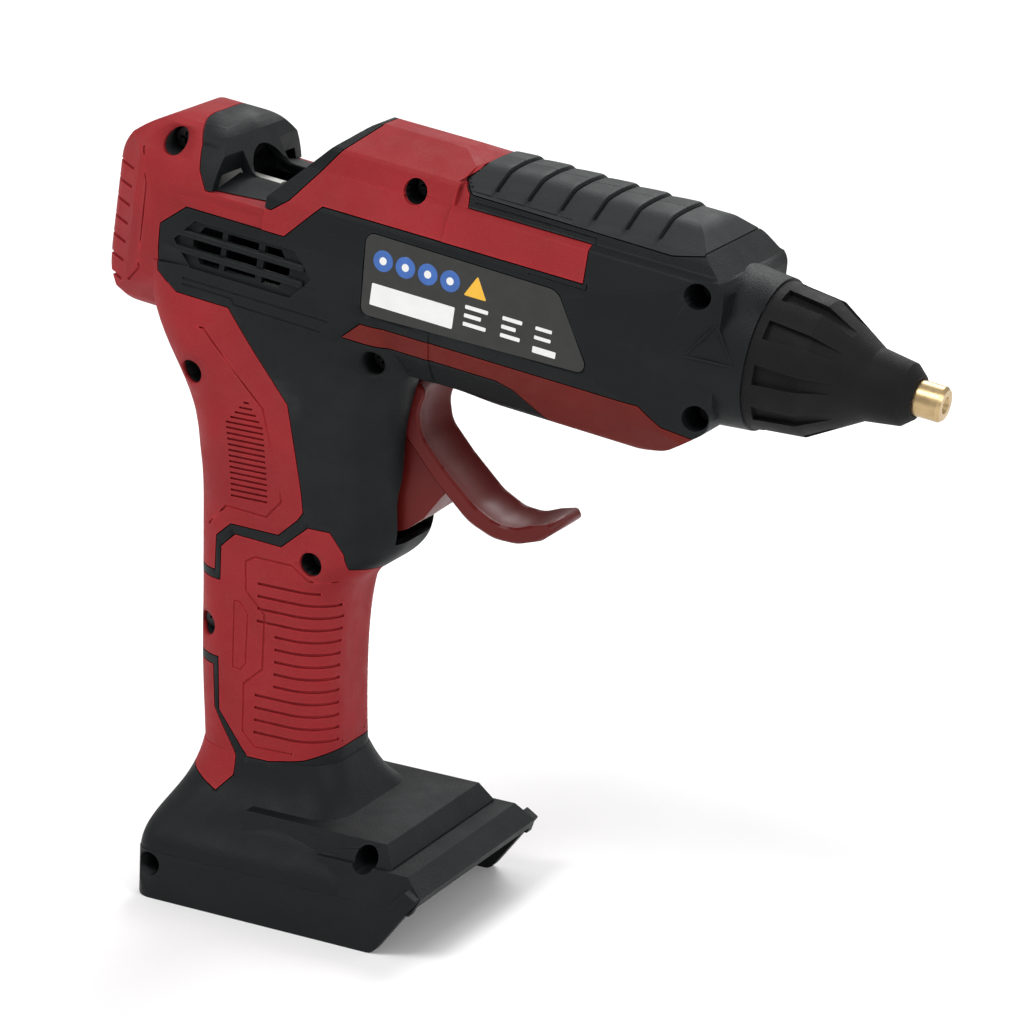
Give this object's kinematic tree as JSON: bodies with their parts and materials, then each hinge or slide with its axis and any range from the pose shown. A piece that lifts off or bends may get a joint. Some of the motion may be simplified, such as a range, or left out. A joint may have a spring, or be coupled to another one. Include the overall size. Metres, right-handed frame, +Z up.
{
  "type": "glue gun",
  "caption": "Cordless hot glue gun body: two-part pistol housing with soft grips, long lever trigger, loading window, finned nozzle sleeve, brass tip and an open slide-on battery foot.",
  "frame": {"origin": "on the surface the battery foot stands on, under the middle of the bounding box", "axes": "+X forward to the nozzle, +Y to the left hand side, +Z up; the barrel points 6.2 degrees below +X"},
  "size_m": [0.2476, 0.076, 0.2293],
  "materials": {
    "housing_plastic": "fine moulded texture",
    "red_grip": "matt soft-touch",
    "belly_grip": "matt soft-touch",
    "rib_rubber": "matt soft-touch",
    "trigger_plastic": "satin moulded",
    "label_film": "satin printed film",
    "sleeve_silicone": "matt silicone",
    "nozzle_brass": "turned",
    "chamber_aluminium": "as cast",
    "inlet_silicone": "matt silicone",
    "insulator": "matt",
    "heater_ceramic": "matt",
    "spring_steel": "satin",
    "white_nylon": "satin",
    "circuit_board": "solder resist",
    "button_rubber": "matt",
    "led_lens": "clear",
    "terminal_plastic": "matt",
    "red_wire": "insulation",
    "black_wire": "insulation",
    "screw_steel": "black oxide"
  },
  "bodies": {
    "housing": {"right_shell": "housing_plastic", "left_shell": "housing_plastic", "label_plate": "label_film", "nozzle_sleeve": "sleeve_silicone", "nozzle": "nozzle_brass", "melt_chamber": "chamber_aluminium", "inlet_sleeve": "inlet_silicone", "rear_insulator": "insulator", "front_insulator": "insulator", "heater": "heater_ceramic", "heater_clip": "spring_steel", "temperature_sensor": "heater_ceramic", "stick_guide": "white_nylon", "trigger_bush": "spring_steel", "trigger_spring": "spring_steel", "control_board": "circuit_board", "tact_switch": "housing_plastic", "led_lens": "led_lens", "terminal_block": "terminal_plastic", "terminal_blades": "nozzle_brass", "red_supply_wire": "red_wire", "black_supply_wire": "black_wire", "heater_wire_front": "red_wire", "heater_wire_rear": "black_wire", "case_screws": "screw_steel", "right_body_grip": "red_grip", "right_handle_grip": "red_grip", "right_tail_grip": "red_grip", "right_belly_strip": "belly_grip", "right_rib_cover": "rib_rubber", "left_body_grip": "red_grip", "left_handle_grip": "red_grip", "left_tail_grip": "red_grip", "left_belly_strip": "belly_grip", "left_rib_cover": "rib_rubber"},
    "trigger": {"trigger": "trigger_plastic", "link_pins": "spring_steel"},
    "feed": {"feed_carriage": "white_nylon", "jaw_pin": "spring_steel"},
    "jaw": {"gripper_jaw": "spring_steel"},
    "links": {"drive_links": "spring_steel"},
    "button": {"power_button": "button_rubber"}
  },
  "joints": [
    {"name": "trigger_pull", "type": "hinge", "parent": "housing", "child": "trigger", "pos_m": [-0.0343, 0, 0.16753], "axis": [0, 1, 0], "range_deg": [0, 22], "stiffness_Nm_per_rad": 1.2, "springref_deg": -14.32},
    {"name": "feed_slide", "type": "slide", "parent": "housing", "child": "feed", "axis": [0.9942, 0, -0.108], "range_m": [0, 0.0088]},
    {"name": "jaw_tilt", "type": "hinge", "parent": "feed", "child": "jaw", "pos_m": [-0.05702, 0, 0.18529], "axis": [0, -1, 0], "range_deg": [0, 6.1]},
    {"name": "link_swing", "type": "hinge", "parent": "trigger", "child": "links", "pos_m": [-0.03621, 0, 0.19025], "axis": [0, -1, 0], "range_deg": [0, 22.1]},
    {"name": "power_button_press", "type": "slide", "parent": "housing", "child": "button", "axis": [0, -1, 0], "range_m": [0, 0.0012], "stiffness_N_per_m": 900, "springref_m": -0.0012}
  ],
  "couplings": [
    {"joint": "feed_slide", "follows": "trigger_pull", "m_per_rad": 0.02266},
    {"joint": "jaw_tilt", "follows": "trigger_pull", "ratio": 0.2727},
    {"joint": "link_swing", "follows": "trigger_pull", "ratio": 1}
  ]
}
